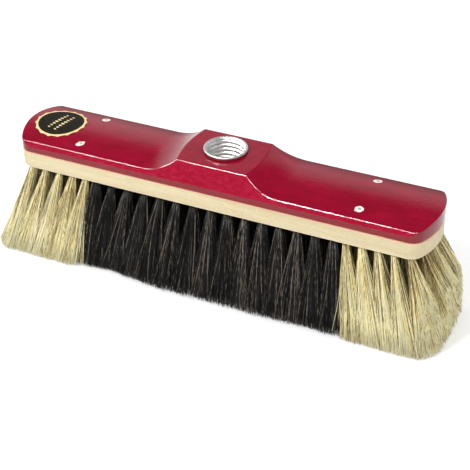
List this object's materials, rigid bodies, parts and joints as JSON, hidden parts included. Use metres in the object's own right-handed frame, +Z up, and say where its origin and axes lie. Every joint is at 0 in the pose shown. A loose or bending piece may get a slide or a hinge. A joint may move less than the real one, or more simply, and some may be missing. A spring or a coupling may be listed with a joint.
{
  "type": "horsehair broom head",
  "caption": "Indoor broom head: crimson lacquered deck with a metal screw socket, pale wooden board, and tufts of dark horsehair with pale hair at both ends.",
  "frame": {"origin": "centre of the head's footprint, on the floor under the cut bristle ends", "axes": "+X along the head, away from the label; +Z up through the socket; -Y is the front side of the picture"},
  "size_m": [0.3178, 0.0722, 0.0953],
  "materials": {
    "crimson_lacquered_wood": "glossy crimson lacquer over wood, fine grain showing",
    "pale_beech": "bare planed beech",
    "bright_steel": "bright pressed steel",
    "label_paper": "smooth printed paper, black with a gold edge",
    "pin_steel": "plain steel",
    "dark_horsehair": "dark natural hair",
    "pale_horsehair": "pale natural hair",
    "drawing_wire_steel": "plain steel"
  },
  "bodies": {
    "root": {"top_deck": "crimson_lacquered_wood", "bristle_board": "pale_beech", "handle_socket": "bright_steel", "round_label": "label_paper", "deck_pin_front_left": "pin_steel", "deck_pin_back_left": "pin_steel", "deck_pin_front_right": "pin_steel", "deck_pin_back_right": "pin_steel", "pale_tufts_left_row_1": "pale_horsehair", "dark_tufts_row_1": "dark_horsehair", "pale_tufts_right_row_1": "pale_horsehair", "pale_tufts_left_row_2": "pale_horsehair", "dark_tufts_row_2": "dark_horsehair", "pale_tufts_right_row_2": "pale_horsehair", "pale_tufts_left_row_3": "pale_horsehair", "dark_tufts_row_3": "dark_horsehair", "pale_tufts_right_row_3": "pale_horsehair", "pale_tufts_left_row_4": "pale_horsehair", "dark_tufts_row_4": "dark_horsehair", "pale_tufts_right_row_4": "pale_horsehair", "pale_tufts_left_row_5": "pale_horsehair", "dark_tufts_row_5": "dark_horsehair", "pale_tufts_right_row_5": "pale_horsehair", "drawing_wire_row_1": "drawing_wire_steel", "drawing_wire_row_2": "drawing_wire_steel", "drawing_wire_row_3": "drawing_wire_steel", "drawing_wire_row_4": "drawing_wire_steel", "drawing_wire_row_5": "drawing_wire_steel"}
  },
  "joints": []
}
